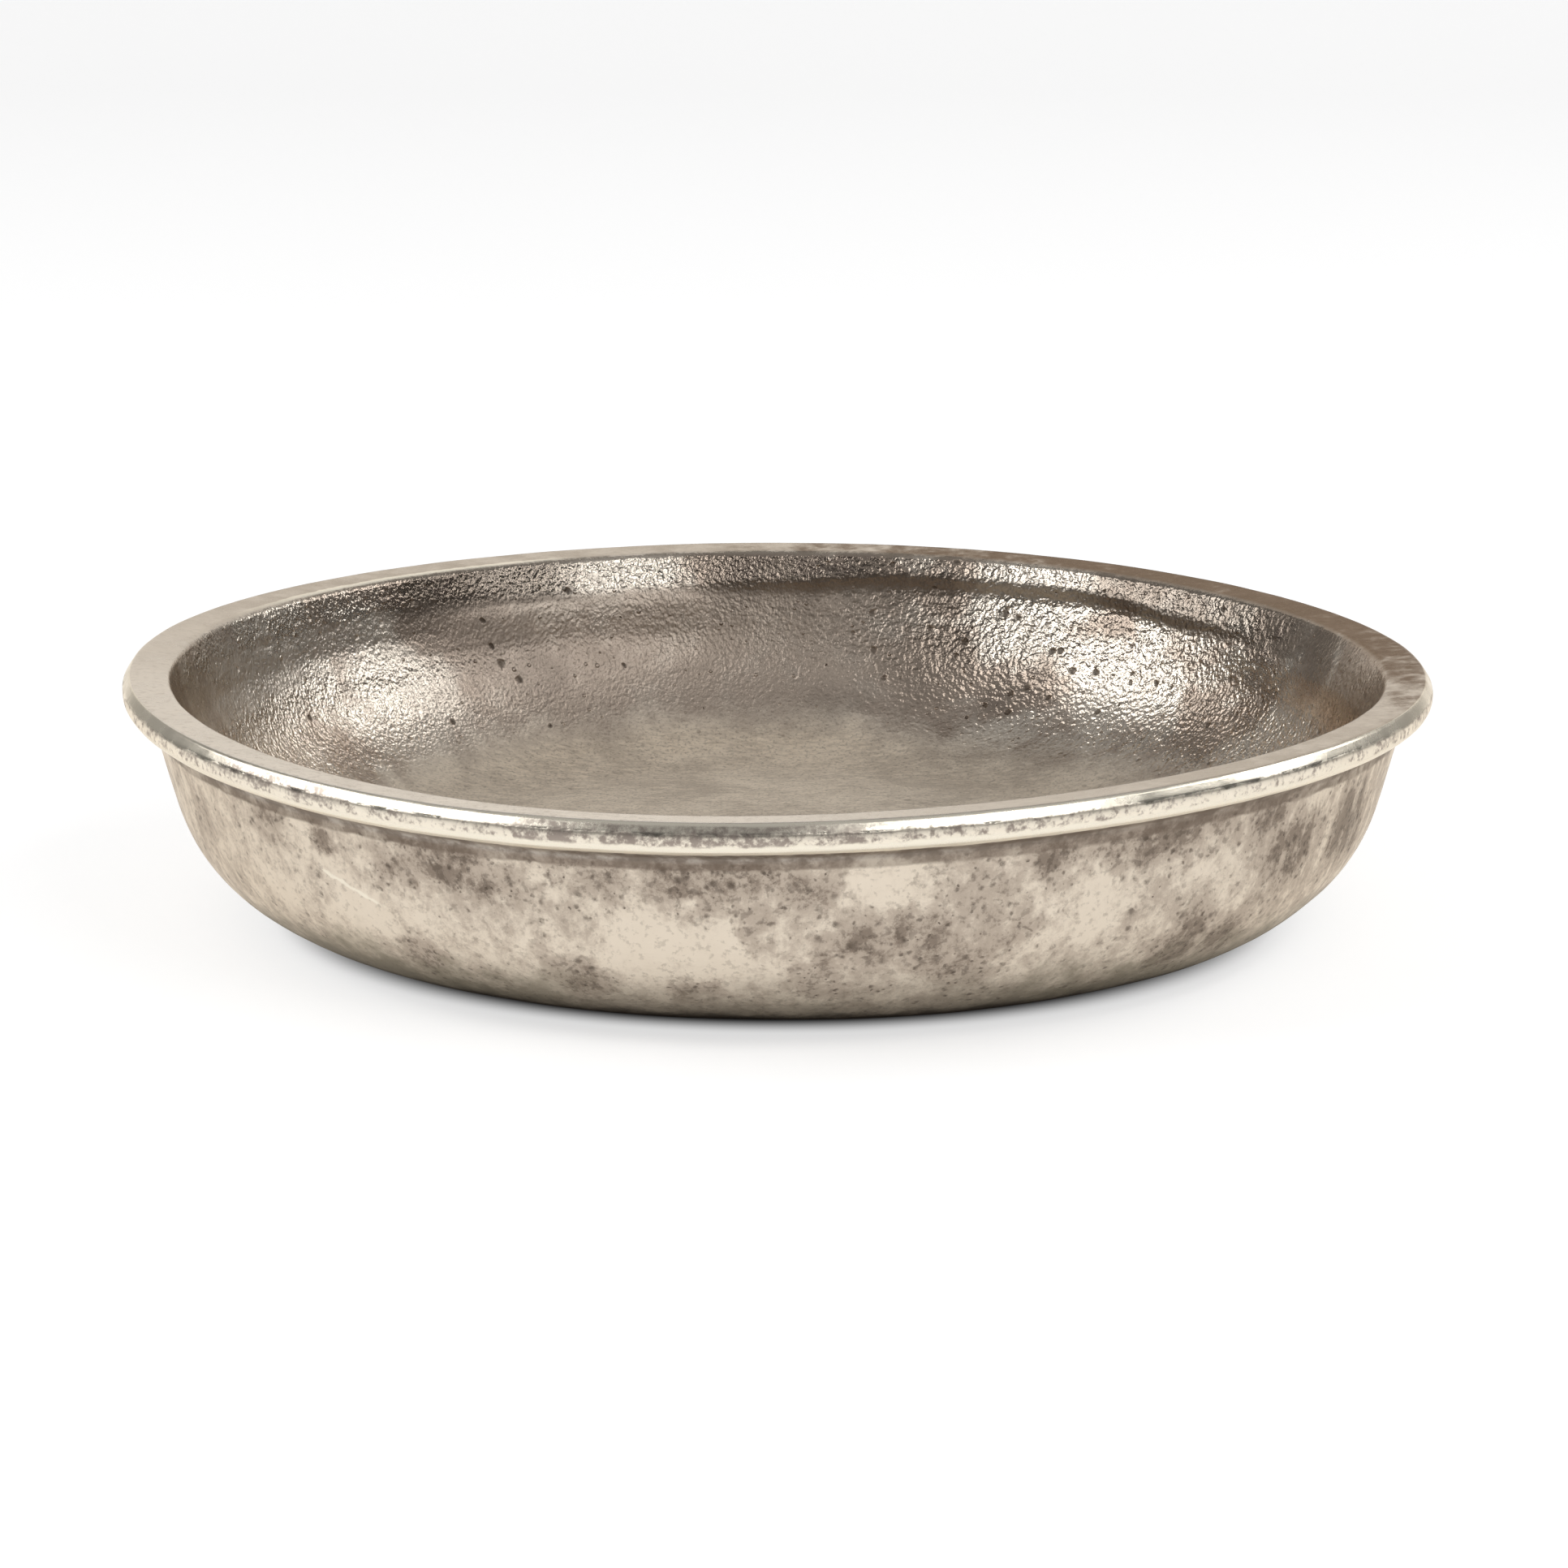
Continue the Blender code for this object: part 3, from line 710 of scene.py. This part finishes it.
def feltPadTree():
    tree = bpy.data.node_groups.new("feltPad", "GeometryNodeTree")
    face = tree.interface
    face.new_socket("Geometry", in_out="OUTPUT", socket_type="NodeSocketGeometry")
    face.new_socket("Centre", in_out="INPUT", socket_type="NodeSocketVector")
    for name in ("radius", "thickness", "softEdge", "unevenness", "hairs", "hairLength", "hairWidth"):
        face.new_socket(name, in_out="INPUT", socket_type="NodeSocketFloat")
    face.new_socket("Seed", in_out="INPUT", socket_type="NodeSocketInt")
    face.new_socket("Material", in_out="INPUT", socket_type="NodeSocketMaterial")
    given = put(tree, "NodeGroupInput").outputs

    # a disc cut from a sheet: soft cut edge, slightly uneven faces
    disc = put(tree, "GeometryNodeMeshCylinder", {
        "Vertices": 64, "Side Segments": 4, "Fill Segments": 8, "Radius": given["radius"],
        "Depth": given["thickness"]}, fill_type="TRIANGLE_FAN").outputs[0]
    here = put(tree, "GeometryNodeInputPosition").outputs[0]
    x, y, z = put(tree, "ShaderNodeSeparateXYZ", {0: here}).outputs
    reach = calc(tree, "SQRT", add(tree, times(tree, x, x), times(tree, y, y)))
    rimward = calc(tree, "DIVIDE", reach, given["radius"])
    level = calc(tree, "DIVIDE", times(tree, z, 2.0), given["thickness"])
    drawnIn = times(tree, given["softEdge"], calc(tree, "POWER", level, 4.0), rimward)
    squeeze = calc(tree, "SUBTRACT", 1.0, drawnIn)
    wool = put(tree, "ShaderNodeTexNoise", {
        "Vector": move(tree, "ADD", here, given["Centre"]),
        "Scale": pads["lumpsPerMetre"], "Detail": 3.0}).outputs["Fac"]
    inward = times(tree, wool, given["unevenness"], -2.0)   # never outwards, so the pad keeps its thickness
    soft = put(tree, "ShaderNodeCombineXYZ", {
        0: times(tree, x, squeeze), 1: times(tree, y, squeeze),
        2: add(tree, z, times(tree, level, inward))}).outputs[0]
    cut = put(tree, "GeometryNodeSetPosition", {"Geometry": disc, "Position": soft}).outputs[0]

    # loose hairs along the cut edge
    normal = put(tree, "GeometryNodeInputNormal").outputs[0]
    upward = put(tree, "ShaderNodeSeparateXYZ", {0: normal}).outputs[2]
    sideways = calc(tree, "LESS_THAN", calc(tree, "ABSOLUTE", upward), 0.4)
    roots = put(tree, "GeometryNodeDistributePointsOnFaces", {
        "Mesh": cut, "Density": times(tree, given["hairs"], sideways), "Seed": given["Seed"]}).outputs
    hair = put(tree, "GeometryNodeMeshCone", {
        "Vertices": 3, "Side Segments": 1, "Radius Top": 0.0, "Radius Bottom": given["hairWidth"],
        "Depth": given["hairLength"]}, fill_type="NGON").outputs[0]
    least, most = pads["hairBend"]
    bend = put(tree, "FunctionNodeRandomValue", {0: least, 1: most, "Seed": given["Seed"]},
               data_type="FLOAT_VECTOR").outputs[0]
    lean = put(tree, "FunctionNodeRotateEuler", {"Rotation": roots["Rotation"], "Rotate By": bend},
               rotation_type="EULER", space="LOCAL").outputs[0]
    tufts = put(tree, "GeometryNodeInstanceOnPoints", {
        "Points": roots["Points"], "Instance": hair, "Rotation": lean}).outputs[0]
    both = put(tree, "GeometryNodeJoinGeometry")
    tree.links.new(tufts, both.inputs[0])
    tree.links.new(cut, both.inputs[0])
    real = put(tree, "GeometryNodeRealizeInstances", {0: both.outputs[0]}).outputs[0]
    # hairs that reach past the faces are pressed flat
    kept = put(tree, "ShaderNodeSeparateXYZ", {0: put(tree, "GeometryNodeInputPosition").outputs[0]}).outputs
    half = times(tree, given["thickness"], 0.5)
    inside = calc(tree, "MINIMUM", calc(tree, "MAXIMUM", kept[2], times(tree, half, -1.0)), half)
    pressed = put(tree, "ShaderNodeCombineXYZ", {0: kept[0], 1: kept[1], 2: inside}).outputs[0]
    placed = put(tree, "GeometryNodeSetPosition", {
        "Geometry": real, "Position": pressed, "Offset": given["Centre"]}).outputs[0]
    dressed = put(tree, "GeometryNodeSetMaterial", {"Geometry": placed, "Material": given["Material"]})
    put(tree, "NodeGroupOutput", {0: dressed.outputs[0]})
    return tree


def darkFelt():
    material = bpy.data.materials.new("darkFelt")
    material.use_nodes = True
    tree = material.node_tree
    shader = tree.nodes["Principled BSDF"]
    place = put(tree, "ShaderNodeTexCoord").outputs["Object"]

    def strands(scale, turn):
        return noise(tree, stretch(tree, place, scale, (0.0, 0.0, turn)), pads["strand"], 4.0, 0.7, 1.5)

    wool = calc(tree, "MAXIMUM", strands((1.0, 0.3, 1.0), 0.8), strands((0.3, 1.0, 1.0), 0.4))
    patches = noise(tree, place, pads["patch"], 3.0)
    colour = blend(tree, rise(tree, wool, 0.42, 0.70), pads["dark"], pads["light"])
    colour = blend(tree, times(tree, patches, 0.4), colour, pads["faded"])
    wire(tree, shader.inputs["Base Color"], colour)
    wire(tree, shader.inputs["Roughness"], rise(tree, wool, 0.3, 0.7, 0.98, 0.86))
    shader.inputs["Sheen Weight"].default_value = 0.25
    shader.inputs["Sheen Roughness"].default_value = 0.5
    bump = put(tree, "ShaderNodeBump", {"Strength": 1.0, "Distance": pads["strandHeight"], "Height": wool})
    wire(tree, shader.inputs["Normal"], bump.outputs[0])
    return material


feltTree, feltFinish = feltPadTree(), darkFelt()
for i, corner in enumerate(pads["names"]):
    turn = math.radians(pads["firstTurn"] + 90 * i)
    pad = bpy.data.objects.new("feltPad" + corner, bpy.data.meshes.new("feltPad" + corner))
    scene.collection.objects.link(pad)
    centre = (pads["circle"] * math.cos(turn), pads["circle"] * math.sin(turn), pads["thickness"] / 2)
    settle(pad, feltTree, {"Centre": centre, "Seed": pads["seed"] + i, "Material": feltFinish, **pads})
    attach(pad, "root")
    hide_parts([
        "felt_pad_front_left", "felt_pad_front_right", "felt_pad_back_right", "felt_pad_back_left"][i])
print("pads cut:", len(pads["names"]))


# floor, backdrop and light

studio = {
    # the sweep: floor, the curve behind it and the wall
    "floorFront": -1.6, "narrowFrom": 0.5, "floorHalf": 1.7,
    "curveFrom": 1.0, "curveRound": 0.35, "curveSteps": 12, "wallTop": 1.6, "wallHalf": 0.75,
    # the floor glows beyond these distances from the axis, for the camera and in reflections
    "floorWhite": 0.55, "floorGlow": 0.69, "sideShare": 0.9,
    "glowFrom": 0.0655, "glowFull": 0.0742, "mirrorFrom": 0.071, "mirrorFull": 0.094,
    # brightness of the room, its ceiling and its back
    "room": 0.11, "ceiling": 0.52, "ceilingZone": (0.52, 0.94), "back": 0.45, "backZone": (0.1, 0.9),
    "aim": (0.0, 0.0, 0.02), "distance": 1.3,
    # name, azimuth from +Y towards +X, elevation, width and height in degrees, brightness
    "boxes": [
        ("leftBox", -88, 35, 28, 20, 3.7), ("leftStrip", -68, 28, 14, 6, 3.0),
        ("leftFrontBox", -117, 41, 20, 16, 3.7),
        ("rightBox", 68, 36, 27, 20, 3.7), ("rightStrip", 88, 41, 16, 5, 3.0),
        ("frontRightBox", 143, 43, 32, 16, 3.7), ("frontStrip", 119, 49, 26, 5, 3.0)],
}


def whiteSweep():
    material = bpy.data.materials.new("whiteSweep")
    material.use_nodes = True
    tree = material.node_tree
    tree.nodes.clear()
    ray = put(tree, "ShaderNodeLightPath").outputs
    place = put(tree, "ShaderNodeTexCoord").outputs["Object"]
    x, y = put(tree, "ShaderNodeSeparateXYZ", {0: place}).outputs[:2]
    reach = calc(tree, "SQRT", add(tree, times(tree, x, x), times(tree, y, y)))
    # the glow is left out near the dish, which paints its shadow there, wider at the sides; the glow seen in
    # reflections is left out further out, which paints shade into the heel
    shaded = calc(tree, "SQRT", add(tree, times(tree, x, x, studio["sideShare"]), times(tree, y, y)))
    lit = rise(tree, shaded, studio["glowFrom"], studio["glowFull"])
    litToCamera = times(tree, ray["Is Camera Ray"], lit)
    mirrored = rise(tree, reach, studio["mirrorFrom"], studio["mirrorFull"])
    seen = add(tree, litToCamera, times(tree, ray["Is Glossy Ray"], mirrored))
    diffuse = put(tree, "ShaderNodeBsdfDiffuse", {"Color": (*[studio["floorWhite"]] * 3, 1.0)}).outputs[0]
    glow = put(tree, "ShaderNodeEmission", {"Strength": times(tree, seen, studio["floorGlow"])}).outputs[0]
    both = put(tree, "ShaderNodeAddShader", {0: diffuse, 1: glow}).outputs[0]
    put(tree, "ShaderNodeOutputMaterial", {"Surface": both})
    return material


def makeStage():
    s = studio
    rows = [(s["floorFront"], 0.0, s["floorHalf"]), (s["narrowFrom"], 0.0, s["floorHalf"]),
            (s["curveFrom"], 0.0, s["wallHalf"])]   # y, z and half the width
    for i in range(1, s["curveSteps"] + 1):
        t = math.pi / 2 * i / s["curveSteps"]
        rows.append((s["curveFrom"] + s["curveRound"] * math.sin(t), s["curveRound"] * (1 - math.cos(t)),
                     s["wallHalf"]))
    rows.append((s["curveFrom"] + s["curveRound"], s["wallTop"], s["wallHalf"]))
    points = [(side * half, y, z) for y, z, half in rows for side in (-1, 1)]
    faces = [(2 * i, 2 * i + 1, 2 * i + 3, 2 * i + 2) for i in range(len(rows) - 1)]
    mesh = bpy.data.meshes.new("sweep")
    mesh.from_pydata(points, [], faces)
    mesh.shade_smooth()
    mesh.materials.append(whiteSweep())
    sweep = bpy.data.objects.new("sweep", mesh)
    scene.collection.objects.link(sweep)


def makeLights():
    world = bpy.data.worlds.new("room")
    world.use_nodes = True
    scene.world = world
    tree = world.node_tree
    tree.nodes.clear()
    ray = put(tree, "ShaderNodeLightPath").outputs
    way = put(tree, "ShaderNodeTexCoord").outputs["Generated"]
    back, up = put(tree, "ShaderNodeSeparateXYZ", {0: way}).outputs[1:]
    overhead = rise(tree, up, *studio["ceilingZone"], studio["room"], studio["ceiling"])
    behind = rise(tree, back, *studio["backZone"], 0.0, studio["back"])
    level = calc(tree, "MAXIMUM", ray["Is Camera Ray"], calc(tree, "MAXIMUM", overhead, behind))
    put(tree, "ShaderNodeOutputWorld", {0: put(tree, "ShaderNodeBackground", {"Strength": level}).outputs[0]})
    aim = Vector(studio["aim"])
    for name, azimuth, elevation, wide, tall, bright in studio["boxes"]:
        a, e = math.radians(azimuth), math.radians(elevation)
        toBox = Vector((math.sin(a) * math.cos(e), math.cos(a) * math.cos(e), math.sin(e)))
        light = bpy.data.lights.new(name, "AREA")
        light.shape = "RECTANGLE"
        light.size = 2 * studio["distance"] * math.tan(math.radians(wide / 2))
        light.size_y = 2 * studio["distance"] * math.tan(math.radians(tall / 2))
        light.energy = bright * math.pi * light.size * light.size_y
        box = bpy.data.objects.new(name, light)
        box.location = aim + toBox * studio["distance"]
        box.rotation_mode = "QUATERNION"
        box.rotation_quaternion = toBox.to_track_quat("Z", "Y")
        scene.collection.objects.link(box)


makeStage()
makeLights()
scene.view_settings.view_transform = "Standard"
print("stage lit")


# the camera, as the photograph was taken

shot = {"distance": 1.0, "aimHeight": 0.0212, "elevation": 13.184, "roll": 0.128,
        "sensor": 36.0, "lens": 149.24, "shift": (0.0042, -0.0072)}


def makeCamera():
    e, r = math.radians(shot["elevation"]), math.radians(shot["roll"])
    ahead = Vector((0.0, math.cos(e), -math.sin(e)))
    level = Vector((1.0, 0.0, 0.0))
    upright = level.cross(ahead)
    right = level * math.cos(r) + upright * math.sin(r)
    up = upright * math.cos(r) - level * math.sin(r)
    data = bpy.data.cameras.new("photoCamera")
    data.sensor_width = shot["sensor"]
    data.lens = shot["lens"]
    data.shift_x, data.shift_y = shot["shift"]
    camera = bpy.data.objects.new("photoCamera", data)
    turn = Matrix((right, up, -ahead)).transposed().to_4x4()
    stand = Vector((0, 0, shot["aimHeight"])) - ahead * shot["distance"]
    camera.matrix_world = Matrix.Translation(stand) @ turn
    scene.collection.objects.link(camera)
    scene.camera = camera


makeCamera()
bpy.context.view_layer.update()
